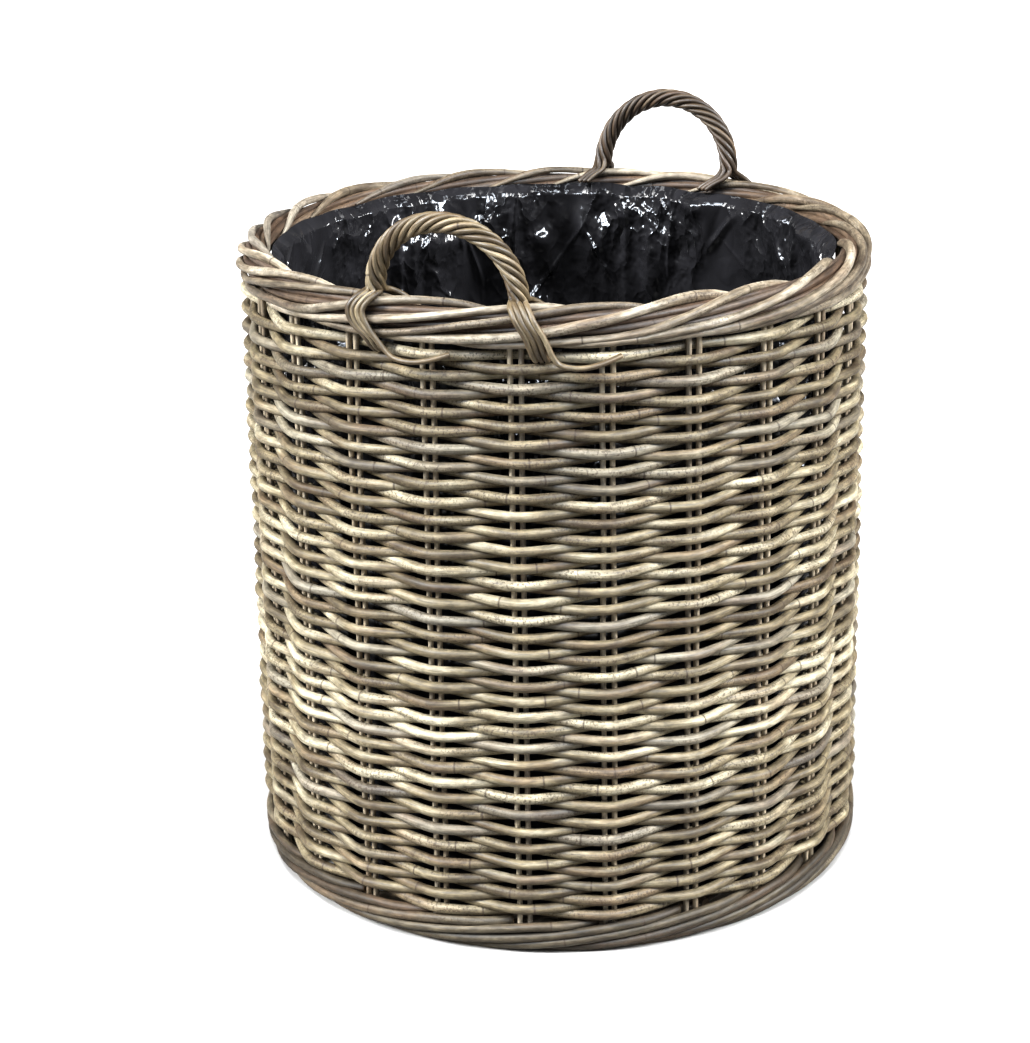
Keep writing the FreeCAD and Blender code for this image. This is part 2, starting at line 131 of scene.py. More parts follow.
def rod(points, radius, rng, step=4.5 * MM, sides=12, node_gap=(0.13, 0.30), uneven=0.03, taper=0.0,
        swell=None, dark_start=False, dark_end=False):
    """Vertices, faces and surface values of one rattan rod along a path.

    The rod has a ridge at each of its nodes, slow changes of thickness, a section that isn't quite round and
    cut ends. swell gives a factor on its thickness at shares of its length."""
    steps = np.linalg.norm(np.diff(points, axis=0), axis=1)
    travelled = np.concatenate([[0], np.cumsum(steps)])
    length = travelled[-1]
    rings = []
    place = rng.uniform(0.2, 1.0) * node_gap[0]
    while place < length - 8 * MM:
        rings.append(place)
        place += rng.uniform(*node_gap)
    marks = [np.linspace(0, length, max(4, int(length / step)))]
    marks += [ring + NODE_RIDGE for ring in rings]
    stations = np.unique(np.concatenate(marks).clip(0, length))
    keep = np.concatenate([[True], np.diff(stations) > 0.25 * MM])
    keep[-1] = True
    stations = stations[keep]
    centres = np.stack([np.interp(stations, travelled, points[:, axis]) for axis in range(3)], axis=1)
    tangents, normals, sides_of = carried_frames(centres)
    thickness = 1 + uneven * wander(rng, 5, 2, 14)(stations) + taper * (0.5 - stations / length)
    ring_mark = np.zeros(len(stations))
    for ring in rings:
        away = np.abs(stations - ring)
        thickness += 0.055 * np.exp(-(away / (2.6 * MM)) ** 2) - 0.075 * np.exp(-(away / (0.55 * MM)) ** 2)
        ring_mark = np.maximum(ring_mark, np.exp(-(away / (0.8 * MM)) ** 2))
    if swell is not None:
        thickness *= swell(stations / length)
    angles = np.arange(sides) / sides * TAU
    first, second = rng.uniform(0, TAU, 2)
    section = 1 + 0.022 * np.cos(2 * angles + first) + 0.012 * np.cos(3 * angles + second)
    reach = radius * thickness[:, None] * section[None, :]
    across = np.cos(angles)[None, :, None] * normals[:, None, :]
    across = across + np.sin(angles)[None, :, None] * sides_of[:, None, :]
    rings_of_points = centres[:, None, :] + across * reach[:, :, None]
    count = len(stations)
    vertices = rings_of_points.reshape(-1, 3)
    here = np.arange(count - 1)[:, None] * sides + np.arange(sides)[None, :]
    there = np.arange(count - 1)[:, None] * sides + (np.arange(sides)[None, :] + 1) % sides
    quads = np.stack([here, there, there + sides, here + sides], axis=2).reshape(-1, 4)
    offset = rng.uniform(0, 40)
    grain = np.stack([
        np.repeat(stations + offset, sides),
        np.tile(np.cos(angles) * radius, count),
        np.tile(np.sin(angles) * radius, count),
    ], axis=1)
    mark = np.repeat(ring_mark, sides)
    cut = np.zeros(len(vertices))
    caps = []
    for end, outward, dark in ((0, -1, dark_start), (count - 1, 1, dark_end)):
        rim = vertices[end * sides:(end + 1) * sides]
        inset = centres[end] + (rim - centres[end]) * 0.86 + tangents[end] * outward * 0.5 * MM
        start = len(vertices)
        vertices = np.vstack([vertices, inset])
        ring_ids = end * sides + np.arange(sides)
        cap_ids = start + np.arange(sides)
        turn = np.roll(np.arange(sides), -1)
        joint = np.stack([ring_ids, ring_ids[turn], cap_ids[turn], cap_ids], axis=1)
        quads = np.vstack([quads, joint if outward > 0 else joint[:, ::-1]])
        caps.append(cap_ids if outward > 0 else cap_ids[::-1])
        grain = np.vstack([grain, grain[ring_ids] * [1, 0.86, 0.86]])
        mark = np.concatenate([mark, np.zeros(sides)])
        cut = np.concatenate([cut, np.full(sides, 1.0 if dark else 0.6)])
    tone = np.tile(rng.uniform(0, 1, 4), (len(vertices), 1))
    return {"vertices": vertices, "quads": quads, "caps": caps, "grain": grain, "tone": tone, "mark": mark, "cut": cut}


def piece_from_rods(name, rods, node, material):
    """One object for one node's rods, standing for the node."""
    counts = np.cumsum([0] + [len(one["vertices"]) for one in rods])
    vertices = np.vstack([one["vertices"] for one in rods])
    quads = np.vstack([one["quads"] + base for one, base in zip(rods, counts)])
    caps = [cap + base for one, base in zip(rods, counts) for cap in one["caps"]]
    cap_sizes = [len(cap) for cap in caps]
    corners = np.concatenate([quads.reshape(-1)] + caps)
    sizes = np.concatenate([np.full(len(quads), 4), cap_sizes]).astype(np.int32)
    mesh = bpy.data.meshes.new(name)
    mesh.vertices.add(len(vertices))
    mesh.vertices.foreach_set("co", vertices.astype(np.float32).ravel())
    mesh.loops.add(len(corners))
    mesh.loops.foreach_set("vertex_index", corners.astype(np.int32))
    mesh.polygons.add(len(sizes))
    starts = np.concatenate([[0], np.cumsum(sizes)[:-1]]).astype(np.int32)
    mesh.polygons.foreach_set("loop_start", starts)
    smooth = np.concatenate([np.ones(len(quads), bool), np.zeros(len(caps), bool)])
    mesh.polygons.foreach_set("use_smooth", smooth)
    mesh.update(calc_edges=True)
    layers = (
        ("grain", "FLOAT_VECTOR", "vector", np.vstack([one["grain"] for one in rods])),
        ("tone", "FLOAT_COLOR", "color", np.vstack([one["tone"] for one in rods])),
        ("mark", "FLOAT", "value", np.concatenate([one["mark"] for one in rods])),
        ("cut", "FLOAT", "value", np.concatenate([one["cut"] for one in rods])),
    )
    for layer, kind, field, values in layers:
        attribute = mesh.attributes.new(layer, kind, "POINT")
        attribute.data.foreach_set(field, values.astype(np.float32).ravel())
    mesh.materials.append(material)
    piece = bpy.data.objects.new(name, mesh)
    bpy.context.scene.collection.objects.link(piece)
    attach(piece, "root")
    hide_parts(node)
    return piece


# ---- materials ----
def new_material(name):
    material = bpy.data.materials.new(name)
    material.use_nodes = True
    nodes = material.node_tree.nodes
    return material, nodes, material.node_tree.links, nodes["Principled BSDF"]


def ramp(nodes, stops):
    """Colour ramp from (position, colour) stops."""
    node = nodes.new("ShaderNodeValToRGB")
    elements = node.color_ramp.elements
    while len(elements) < len(stops):
        elements.new(0.5)
    for element, (position, colour) in zip(elements, stops):
        element.position = position
        element.color = (*colour, 1)
    return node


def grey_ramp(nodes, *stops):
    return ramp(nodes, [(position, (value,) * 3) for position, value in stops])


def mix(nodes, links, blend, factor, first, second):
    """Mixed colour of two sockets or colours; factor is a socket or a number."""
    node = nodes.new("ShaderNodeMix")
    node.data_type = "RGBA"
    node.blend_type = blend
    for socket, value in ((node.inputs["Factor"], factor), (node.inputs[6], first), (node.inputs[7], second)):
        if isinstance(value, bpy.types.NodeSocket):
            links.new(value, socket)
        elif isinstance(value, tuple):
            socket.default_value = (*value, 1)
        else:
            socket.default_value = value
    return node.outputs[2]


def maths(nodes, links, operation, first, second=0.0):
    node = nodes.new("ShaderNodeMath")
    node.operation = operation
    for socket, value in zip(node.inputs, (first, second)):
        if isinstance(value, bpy.types.NodeSocket):
            links.new(value, socket)
        else:
            socket.default_value = value
    return node.outputs[0]


def stretched_noise(nodes, links, source, scale, detail=3.0, roughness=0.55):
    """Noise on the rod's own coordinates: scale is along, across, across."""
    mapping = nodes.new("ShaderNodeMapping")
    mapping.inputs["Scale"].default_value = scale
    noise = nodes.new("ShaderNodeTexNoise")
    noise.inputs["Scale"].default_value = 1.0
    noise.inputs["Detail"].default_value = detail
    noise.inputs["Roughness"].default_value = roughness
    links.new(source, mapping.inputs["Vector"])
    links.new(mapping.outputs["Vector"], noise.inputs["Vector"])
    return noise.outputs["Fac"]


def rattan(name, dark, middle, pale, specks=1.0, roughness=0.55, mottle=1.0):
    """Weathered rattan skin: mottled along the rod, fine streaks, bark specks in patches, dark node rings.

    The tone attribute gives each rod its lightness (red), specks (green), greyness (blue) and redness (alpha)."""
    material, nodes, links, shader = new_material(name)

    def attribute(layer):
        node = nodes.new("ShaderNodeAttribute")
        node.attribute_name = layer
        return node

    grain = attribute("grain").outputs["Vector"]
    tone_of = attribute("tone")
    tone = nodes.new("ShaderNodeSeparateColor")
    links.new(tone_of.outputs["Color"], tone.inputs["Color"])
    slow = stretched_noise(nodes, links, grain, (19, 80, 80), 5.0, 0.62)
    lightness = maths(nodes, links, "MULTIPLY", maths(nodes, links, "SUBTRACT", slow, 0.5), 1.9 * mottle)
    shift = maths(nodes, links, "MULTIPLY", maths(nodes, links, "SUBTRACT", tone.outputs["Red"], 0.5), 0.55)
    lightness = maths(nodes, links, "ADD", maths(nodes, links, "ADD", lightness, shift), 0.5)
    base = ramp(nodes, [(0.05, dark), (0.50, middle), (0.95, pale)])
    links.new(lightness, base.inputs["Fac"])
    colour = base.outputs["Color"]
    grey_share = grey_ramp(nodes, (0.80, 0.0), (1.0, 0.6))
    links.new(tone.outputs["Blue"], grey_share.inputs["Fac"])
    colour = mix(nodes, links, "MIX", grey_share.outputs["Color"], colour, (0.20, 0.19, 0.175))
    reddish = stretched_noise(nodes, links, grain, (11, 60, 60), 2.0)
    red_level = maths(nodes, links, "ADD", reddish, maths(nodes, links, "MULTIPLY", tone_of.outputs["Alpha"], 0.16))
    red_share = grey_ramp(nodes, (0.58, 0.0), (0.76, 0.35))
    links.new(red_level, red_share.inputs["Fac"])
    colour = mix(nodes, links, "MIX", red_share.outputs["Color"], colour, (0.19, 0.115, 0.068))
    blotches = stretched_noise(nodes, links, grain, (95, 240, 240), 3.0, 0.6)
    blotch_light = grey_ramp(nodes, (0.34, 0.70), (0.62, 1.16))
    links.new(blotches, blotch_light.inputs["Fac"])
    colour = mix(nodes, links, "MULTIPLY", 1.0, colour, blotch_light.outputs["Color"])
    fibres = stretched_noise(nodes, links, grain, (30, 1000, 1000), 4.0, 0.6)
    fibre_light = grey_ramp(nodes, (0.30, 0.60), (0.68, 1.25))
    links.new(fibres, fibre_light.inputs["Fac"])
    colour = mix(nodes, links, "MULTIPLY", 1.0, colour, fibre_light.outputs["Color"])
    bark = stretched_noise(nodes, links, grain, (520, 420, 420), 2.0, 0.5)
    bark_spots = grey_ramp(nodes, (0.54, 0.0), (0.60, 1.0))
    links.new(bark, bark_spots.inputs["Fac"])
    patches = stretched_noise(nodes, links, grain, (12, 110, 110), 2.0)
    patch_level = maths(nodes, links, "ADD", patches, maths(nodes, links, "MULTIPLY", tone.outputs["Green"], 0.22))
    patch_share = grey_ramp(nodes, (0.57, 0.0), (0.72, 0.62 * specks))
    links.new(patch_level, patch_share.inputs["Fac"])
    speck_share = maths(nodes, links, "MULTIPLY", bark_spots.outputs["Color"], patch_share.outputs["Color"])
    colour = mix(nodes, links, "MIX", speck_share, colour, (0.060, 0.038, 0.020))
    ring_share = maths(nodes, links, "MULTIPLY", attribute("mark").outputs["Fac"], 0.85)
    colour = mix(nodes, links, "MIX", ring_share, colour, (0.050, 0.030, 0.016))
    pith = stretched_noise(nodes, links, grain, (300, 1500, 1500), 2.0)
    pith_light = ramp(nodes, [(0.35, (0.17, 0.10, 0.055)), (0.65, (0.38, 0.27, 0.16))])
    links.new(pith, pith_light.inputs["Fac"])
    colour = mix(nodes, links, "MIX", attribute("cut").outputs["Fac"], colour, pith_light.outputs["Color"])
    links.new(colour, shader.inputs["Base Color"])
    shine = grey_ramp(nodes, (0.3, roughness - 0.12), (0.7, roughness + 0.16))
    links.new(fibres, shine.inputs["Fac"])
    links.new(shine.outputs["Color"], shader.inputs["Roughness"])
    shader.inputs["Specular IOR Level"].default_value = 0.42
    height = maths(nodes, links, "ADD", maths(nodes, links, "MULTIPLY", fibres, 0.6), blotches)
    height = maths(nodes, links, "SUBTRACT", height, maths(nodes, links, "MULTIPLY", speck_share, 0.5))
    bump = nodes.new("ShaderNodeBump")
    bump.inputs["Strength"].default_value = 0.6
    bump.inputs["Distance"].default_value = 0.4 * MM
    links.new(height, bump.inputs["Height"])
    links.new(bump.outputs["Normal"], shader.inputs["Normal"])
    return material


def film(name):
    """Thin black film: glossy, with soft dents and patches of crumpled facets, most of them near the top."""
    material, nodes, links, shader = new_material(name)
    place = nodes.new("ShaderNodeTexCoord").outputs["Object"]

    def scaled(scale):
        mapping = nodes.new("ShaderNodeMapping")
        mapping.inputs["Scale"].default_value = scale
        links.new(place, mapping.inputs["Vector"])
        return mapping.outputs["Vector"]

    def noise(vector, scale, detail):
        texture = nodes.new("ShaderNodeTexNoise")
        texture.inputs["Scale"].default_value = scale
        texture.inputs["Detail"].default_value = detail
        links.new(vector, texture.inputs["Vector"])
        return texture

    dents = noise(scaled((1.0, 1.0, 0.45)), 38.0, 2.0).outputs["Fac"]
    bend = noise(scaled((1.0, 1.0, 0.8)), 26.0, 3.0).outputs["Color"]
    bent = mix(nodes, links, "LINEAR_LIGHT", 0.022, scaled((1.0, 1.0, 0.55)), bend)
    facets = nodes.new("ShaderNodeTexVoronoi")
    facets.inputs["Scale"].default_value = 46.0
    links.new(bent, facets.inputs["Vector"])
    patches = grey_ramp(nodes, (0.42, 0.0), (0.54, 1.0))
    links.new(noise(scaled((1.0, 1.0, 0.6)), 9.0, 2.0).outputs["Fac"], patches.inputs["Fac"])
    level = nodes.new("ShaderNodeSeparateXYZ")
    links.new(place, level.inputs["Vector"])
    upper = nodes.new("ShaderNodeMapRange")
    upper.inputs["From Min"].default_value = LINER_HIGH.z - 0.20
    upper.inputs["From Max"].default_value = LINER_HIGH.z - 0.04
    links.new(level.outputs["Z"], upper.inputs["Value"])
    crumpled = maths(nodes, links, "MULTIPLY", patches.outputs["Color"], upper.outputs["Result"])
    creased = maths(nodes, links, "MULTIPLY", facets.outputs["Distance"], crumpled)
    height = maths(nodes, links, "ADD", maths(nodes, links, "MULTIPLY", dents, 0.35),
                   maths(nodes, links, "MULTIPLY", creased, 13.0))
    bump = nodes.new("ShaderNodeBump")
    bump.inputs["Strength"].default_value = 1.0
    bump.inputs["Distance"].default_value = 1.0 * MM
    links.new(height, bump.inputs["Height"])
    links.new(bump.outputs["Normal"], shader.inputs["Normal"])
    tint = ramp(nodes, [(0.35, (0.024, 0.024, 0.027)), (0.75, (0.036, 0.036, 0.041))])
    links.new(dents, tint.inputs["Fac"])
    links.new(tint.outputs["Color"], shader.inputs["Base Color"])
    gloss = grey_ramp(nodes, (0.3, 0.10), (0.8, 0.20))
    links.new(dents, gloss.inputs["Fac"])
    edge = nodes.new("ShaderNodeMapRange")
    edge.inputs["From Min"].default_value = LINER_HIGH.z - 16 * MM
    edge.inputs["From Max"].default_value = LINER_HIGH.z - 9 * MM
    links.new(level.outputs["Z"], edge.inputs["Value"])
    links.new(gloss.outputs["Color"], shader.inputs["Roughness"])
    mirror = grey_ramp(nodes, (0.0, 0.5), (1.0, 0.05))
    links.new(edge.outputs["Result"], mirror.inputs["Fac"])
    links.new(mirror.outputs["Color"], shader.inputs["Specular IOR Level"])
    return material


weave_rattan = rattan("weave_rattan", (0.095, 0.071, 0.040), (0.280, 0.236, 0.150), (0.60, 0.55, 0.415))
# The stakes are pale rattan, made paler still as painted light, to make up for the shade the weave casts on them.
stake_rattan = rattan("stake_rattan", (0.34, 0.28, 0.20), (0.60, 0.52, 0.39), (0.78, 0.71, 0.57), specks=0.3)
rim_rattan = rattan("rim_rattan", (0.095, 0.071, 0.047), (0.27, 0.226, 0.162), (0.56, 0.505, 0.41), mottle=1.25)
hoop_rattan = rattan("hoop_rattan", (0.05, 0.032, 0.020), (0.11, 0.072, 0.046), (0.20, 0.145, 0.098))
# The foot's palette is much darker than the wall's: painted shade, standing in for the shade near the floor.
foot_rattan = rattan("foot_rattan", (0.030, 0.022, 0.012), (0.074, 0.058, 0.036), (0.185, 0.155, 0.104))
base_rattan = rattan("base_rattan", (0.12, 0.090, 0.060), (0.26, 0.208, 0.142), (0.42, 0.355, 0.26), specks=0.6)
handle_a_rattan = rattan(
    "handle_a_rattan", (0.080, 0.056, 0.031), (0.180, 0.138, 0.080), (0.46, 0.39, 0.265),
    specks=0.25, roughness=0.45,
)
handle_b_rattan = rattan(
    "handle_b_rattan", (0.040, 0.027, 0.016), (0.092, 0.065, 0.040), (0.20, 0.157, 0.106),
    specks=0.2, roughness=0.45, mottle=0.7,
)
liner_film = film("liner_film")


# ---- wall ----
def stake_angle(index):
    return FIRST_STAKE + index * INTERVAL


drift_rng = np.random.default_rng(11)
DRIFT_TERMS = [
    (drift_rng.integers(1, 9), drift_rng.uniform(-40, 40), drift_rng.uniform(0, TAU)) for _ in range(9)
]


def row_drift(angle, z):
    """How far the rows stray up or down together, so that they never cross."""
    total = np.zeros_like(angle)
    for around, up, phase in DRIFT_TERMS:
        total += np.sin(around * angle + up * z + phase)
    return total * 0.55 * MM


def make_stakes():
    for index, node in enumerate(STAKES):
        rng = np.random.default_rng(100 + index)
        angle = stake_angle(index)
        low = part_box(node)[0].z
        foot_z = low + STAKE_RADIUS
        rods = []
        for side in (-1, 1):
            across = side * STAKE_SPACING / 2
            stray = wander(rng, 4, 1, 6)
            heights = np.linspace(STAKE_TOP, foot_z + 7 * MM, 60)
            radial = np.full(60, WALL_RADIUS) + 0.35 * MM * stray(heights)
            tail = np.array([[WALL_RADIUS - 1.5 * MM, foot_z + 2.5 * MM], [WALL_RADIUS - 5 * MM, foot_z],
                             [WALL_RADIUS - 15 * MM, foot_z]])
            radial = np.concatenate([radial, tail[:, 0]])
            heights = np.concatenate([heights, tail[:, 1]])
            sideways = across + 0.5 * MM * stray(heights + 3)
            cos, sin = math.cos(angle), math.sin(angle)
            path = np.stack([radial * cos - sideways * sin, radial * sin + sideways * cos, heights], axis=1)
            rods.append(rod(path, STAKE_RADIUS, rng, step=8 * MM, sides=10, node_gap=(0.12, 0.22)))
        piece_from_rods(f"{node}_rods", rods, node, stake_rattan)


WEAVE_SWING = 7.0 * MM                          # a rod passes this far in front of or behind the stakes
WEAVE_DIP = 1.2 * MM                            # and this far lower or higher
WEAVE_SWELL = 0.09                              # share by which a rod is thicker in front and thinner behind
WEAVE_BULGE = 0.7 * MM                          # a loose rod stands out this much more
WEAVE_STRAY = 0.55 * MM                         # and strays this far up or down
WEAVE_THICKNESS = (3.95 * MM, 4.5 * MM)         # radius, thinnest and thickest rod
TOP_LIFT = 6 * MM                               # the last row lies this much higher than its pitch puts it,
TOP_ROWS = 70 * MM                              # and the rows above this depth share the lift out
BEND_SHARPNESS = 0.94                           # 0 bends evenly, 1 would be straight between the stakes


def make_side_weave():
    """The wall's spiral of rods, in front of one stake pair and behind the next."""
    per_rod = STAKE_PAIRS + 1
    rise = weave_rise()
    pitch = rise * STAKE_PAIRS / per_rod
    end_gap = 0.5 * MM / WALL_RADIUS
    made = 0

    def fuller_in_front(share):
        return 1 - WEAVE_SWELL * np.cos(math.pi * per_rod * share)

    for node in WEAVES:
        rods = []
        for _ in range(RODS_PER_BAND):
            rng = np.random.default_rng(1000 + made)
            local = np.linspace(end_gap, per_rod * INTERVAL - end_gap, 1600)
            angle = stake_angle(WEAVE_FIRST_STAKE + made) + local
            swing = np.arcsin(-BEND_SHARPNESS * np.cos(math.pi * local / INTERVAL)) / math.asin(BEND_SHARPNESS)
            stray = wander(rng, 6, 0.3, 2.0)
            bulge = WEAVE_BULGE * stray(local) * np.maximum(swing, 0) ** 2
            radius = WALL_RADIUS + WEAVE_SWING * swing + bulge
            z = WEAVE_BOTTOM + made * rise + pitch * local / TAU
            z = z + (row_drift(angle, z) + WEAVE_STRAY * stray(local + 50) - WEAVE_DIP * swing) * edge_calm(z)
            z = z + TOP_LIFT * np.clip((z - WEAVE_TOP + TOP_ROWS) / TOP_ROWS, 0, 1) ** 2
            thick = rng.uniform(*WEAVE_THICKNESS)
            rods.append(rod(polar(radius, angle, z), thick, rng, uneven=0.05, step=5 * MM,
                            taper=rng.uniform(-0.1, 0.1), swell=fuller_in_front, dark_start=True, dark_end=True))
            made += 1
        piece_from_rods(f"{node}_rods", rods, node, weave_rattan)


def weave_rise():
    """Rise from one rod to the next, from the bands' heights: equal bands of eight rods lie one above another."""
    return (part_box(WEAVES[1])[0].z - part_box(WEAVES[0])[0].z) / RODS_PER_BAND


def edge_calm(z):
    """1 in the wall's middle and 0 at its top and bottom rows."""
    share = (z - WEAVE_BOTTOM) / (WEAVE_TOP - WEAVE_BOTTOM)
    return np.clip(np.minimum(share, 1 - share) * 12, 0, 1)


# ---- rim and foot ----
def rim_point(section_radius, section_angle, angle):
    return polar(RIM_RADIUS + section_radius * np.cos(section_angle), angle,
                 RIM_Z + section_radius * np.sin(section_angle))


RIM_HELIX = 14.4 * MM                           # from the hoop's centre line to a border rod's
RIM_TIP_DROP = 3.2 * MM                         # the thin tips lie on the hoop
RIM_START = math.radians(178)                   # angles round the hoop, up from outside: a rod starts inside,
RIM_TUCK = math.radians(-42)                    # comes over the crest to here
RIM_END = math.radians(-88)                     # and ends under the hoop
RIM_SPAN = 4.25                                 # stake intervals from a rod's start to its tuck
RIM_SAG = 5 * MM                                # the border hangs this much lower outside, where it tucks in
RIM_EASE = 1.9                                  # rods climb the inside faster than they go down the outside
RIM_THICKNESS = (3.3 * MM, 4.3 * MM)            # radius, thinnest and thickest rod
TUCK_SPAN = 0.7                                 # stake intervals from a rod's tuck to its end, foot and rim
HOOP_RODS = 7
HOOP_ROD = 3.8 * MM                             # radius
HOOP_ROD_DEPTH = 2.3 * MM                       # from the hoop's skin in to its rods' centre lines
HOOP_TURNS = 3                                  # its rods go round each other this many times


def pointed(share):
    """Thickness factor of a rod whittled to a blunt point at its start."""
    return 0.3 + 0.7 * np.clip(share / 0.13, 0, 1) ** 0.8


def make_rim():
    """Border rods that roll from the inside over the crest, down the outside and in under the hoop."""
    rods = []
    for index in range(STAKE_PAIRS):
        rng = np.random.default_rng(3000 + index)
        along = np.linspace(0, RIM_SPAN + TUCK_SPAN, 160)
        start = RIM_START + rng.uniform(-0.35, 0.25)
        section = np.where(
            along < RIM_SPAN, RIM_TUCK + (start - RIM_TUCK) * np.clip(1 - along / RIM_SPAN, 0, 1) ** RIM_EASE,
            RIM_TUCK + (along - RIM_SPAN) / TUCK_SPAN * (RIM_END - RIM_TUCK),
        )
        calm = np.clip((RIM_SPAN - along) * 0.8, 0, 1)
        section = section + (0.20 * wander(rng, 4, 0.1, 0.45)(along) + rng.uniform(-0.16, 0.16)) * calm
        reach = RIM_HELIX + 1.2 * MM * wander(rng, 4, 0.1, 0.6)(along)
        reach = reach - RIM_TIP_DROP * (1 - pointed(along / along[-1]))
        path = rim_point(reach, section, stake_angle(index) - along * INTERVAL)
        path[:, 2] -= RIM_SAG * np.clip(1 - np.abs(section - RIM_TUCK) / (RIM_TUCK - RIM_END), 0, 1)
        rods.append(rod(path, rng.uniform(*RIM_THICKNESS), rng, sides=16, step=4 * MM, uneven=0.09,
                        taper=rng.uniform(0.0, 0.25), swell=pointed, dark_end=True))
    nodes = nodes_named("rim_border_rods_")
    per_node = math.ceil(STAKE_PAIRS / len(nodes))
    for number, node in enumerate(nodes):
        chosen = rods[number * per_node:(number + 1) * per_node]
        piece_from_rods(f"{node}_rods", chosen, node, rim_rattan)
    bundle = []
    for index in range(HOOP_RODS):
        rng = np.random.default_rng(3100 + index)
        turn = np.linspace(0.002, TAU - 0.002, 420)
        place = TAU * index / HOOP_RODS + HOOP_TURNS * turn
        bundle.append(rod(rim_point(HOOP_TUBE - HOOP_ROD_DEPTH, place, turn), HOOP_ROD, rng, sides=10))
    piece_from_rods("rim_core_hoop_rods", bundle, "rim_core_hoop", hoop_rattan)


FOOT_ROD = 4.1 * MM                             # radius
FOOT_ROD_Z = 3.7 * MM                           # centre line on the floor, where the rods are worn flat
FOOT_INNER = 264.0 * MM                         # radius where the rods start
FOOT_CORNER = 9.0 * MM                          # radius of the bend from the floor up to the side
FOOT_SIDE = 286.9 * MM                          # radius of the side
FOOT_PITCH = 8.8 * MM                           # along the foot's section, for each stake interval
FOOT_TUCK_Z = 25.5 * MM                         # height where the rods turn in
FOOT_TUCK_START = 0.15                          # stake intervals past a stake pair
FOOT_TUCK_RUN = 9.7 * MM
FOOT_TUCK_RISE = 1.0 * MM


def foot_section(distance):
    """Radius and height of a foot rod's centre along the foot's section."""
    floor_run = FOOT_SIDE - FOOT_CORNER - FOOT_INNER
    corner_run = FOOT_CORNER * math.pi / 2
    turn = np.clip((distance - floor_run) / FOOT_CORNER, 0, math.pi / 2)
    radius = FOOT_INNER + np.minimum(distance, floor_run) + FOOT_CORNER * np.sin(turn)
    z = FOOT_ROD_Z + FOOT_CORNER * (1 - np.cos(turn)) + np.maximum(distance - floor_run - corner_run, 0)
    return radius, z


def make_foot():
    """The foot's rods: out along the floor, round the corner, up the outside and in again."""
    floor_run = FOOT_SIDE - FOOT_CORNER - FOOT_INNER
    length = floor_run + FOOT_CORNER * math.pi / 2 + FOOT_TUCK_Z - FOOT_ROD_Z - FOOT_CORNER
    span = length / FOOT_PITCH
    rods = []
    for index in range(STAKE_PAIRS):
        rng = np.random.default_rng(4000 + index)
        along = np.linspace(-span, TUCK_SPAN, 150)
        radius, z = foot_section(np.minimum((along + span) / span, 1) * length)
        tuck = np.clip(along / TUCK_SPAN, 0, 1)
        radius = radius - FOOT_TUCK_RUN * tuck ** 2
        z = z + FOOT_TUCK_RISE * tuck
        lift = np.clip((z - FOOT_ROD_Z) / (8 * MM), 0, 1)
        z = z + 0.5 * MM * wander(rng, 4, 0.1, 0.5)(along) * lift
        radius = radius + 0.4 * MM * wander(rng, 4, 0.1, 0.5)(along) * lift
        angle = stake_angle(index + FOOT_TUCK_START) + along * INTERVAL
        made = rod(polar(radius, angle, z), FOOT_ROD + rng.uniform(0, 0.2) * MM, rng, sides=16, step=4 * MM,
                   dark_start=True, dark_end=True)
        made["vertices"][:, 2] = np.maximum(made["vertices"][:, 2], 0)
        rods.append(made)
    nodes = nodes_named("foot_border_rods_")
    per_node = math.ceil(STAKE_PAIRS / len(nodes))
    for number, node in enumerate(nodes):
        chosen = rods[number * per_node:(number + 1) * per_node]
        piece_from_rods(f"{node}_rods", chosen, node, foot_rattan)


# ---- base ----
BASE_ARMS = 24                                  # ends of the twelve sticks
STICKS_PER_LAYER = 6
STICK_RADIUS = 4 * MM
STICK_SPACING = 8.3 * MM                        # side by side in the crossing
STICK_LIFT = 4.1 * MM                           # each layer's height over or under the middle
CROSSING_REACH = 34 * MM                        # the sticks run straight as far as this
ARM_RADII = (78 * MM, 262 * MM)                 # and spread like a fan between these
BINDING_RADII = (46 * MM, 54 * MM, 62 * MM)
BINDING_ROD = 3 * MM
ROUND_LIFT = 7.2 * MM                           # rounds pass this far over or under the sticks
ROUNDS = 18
FIRST_ROUND = 90                                # mm, the first woven round's radius
ROUNDS_REACH = 166.5                            # mm, from the first round to the last
ROUND_ROD = 3.05 * MM


def arm_angle(arm):
    return (arm + 0.5) * TAU / BASE_ARMS


